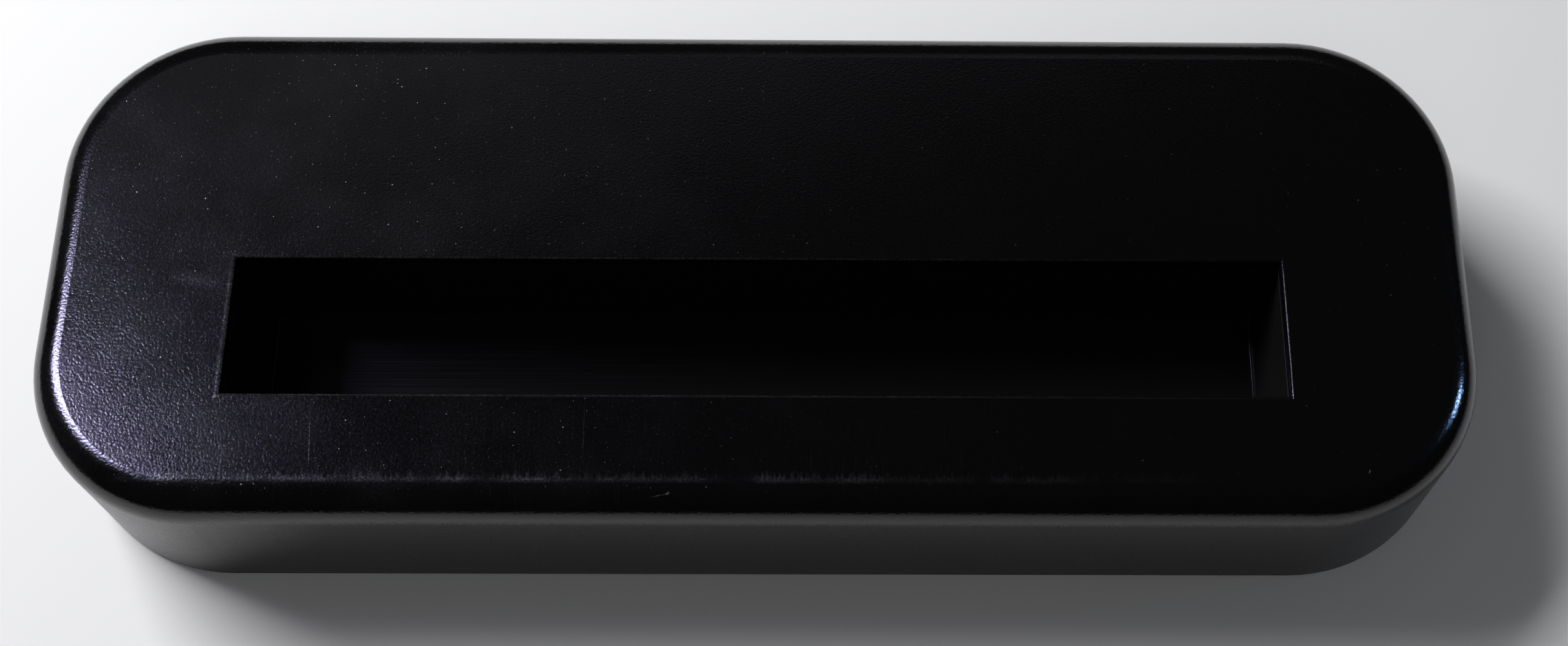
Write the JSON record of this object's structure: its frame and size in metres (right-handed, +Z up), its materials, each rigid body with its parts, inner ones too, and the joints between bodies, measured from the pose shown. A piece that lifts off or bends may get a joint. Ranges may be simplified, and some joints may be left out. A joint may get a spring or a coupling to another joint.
{
  "type": "demagnetizer",
  "caption": "Passive bench-top trough demagnetizer: black rounded slab with a long spine-sized trough over a row of alternating magnets.",
  "frame": {"origin": "centre of the outline, on the surface that the feet stand on", "axes": "+X along the trough to the right, +Y to the back, +Z up; the trough lies in front of the centre line"},
  "size_m": [0.4052, 0.1536, 0.054],
  "materials": {
    "shell_plastic": "satin moulded",
    "tray_plastic": "satin moulded",
    "base_plastic": "fine texture",
    "carrier_nylon": "natural nylon",
    "ferrite": "ground sintered ferrite",
    "zinc_steel": "zinc plated",
    "screw_steel": "zinc plated",
    "insert_brass": "turned",
    "base_screw_steel": "black oxide",
    "foam": "closed-cell foam",
    "foot_rubber": "moulded rubber",
    "label_film": "blank satin label film"
  },
  "bodies": {
    "root": {"top_shell": "shell_plastic", "trough_tray": "tray_plastic", "base_plate": "base_plastic", "magnet_carrier": "carrier_nylon", "magnet_01": "ferrite", "magnet_02": "ferrite", "magnet_03": "ferrite", "magnet_04": "ferrite", "magnet_05": "ferrite", "magnet_06": "ferrite", "magnet_07": "ferrite", "magnet_08": "ferrite", "magnet_09": "ferrite", "magnet_10": "ferrite", "magnet_11": "ferrite", "magnet_12": "ferrite", "keeper_plate": "zinc_steel", "pack_screws": "screw_steel", "tray_washers": "screw_steel", "tray_screws": "screw_steel", "base_inserts": "insert_brass", "base_screws": "base_screw_steel", "base_foam": "foam", "foot_front_left": "foot_rubber", "foot_front_right": "foot_rubber", "foot_back_left": "foot_rubber", "foot_back_right": "foot_rubber", "base_label": "label_film"}
  },
  "joints": []
}
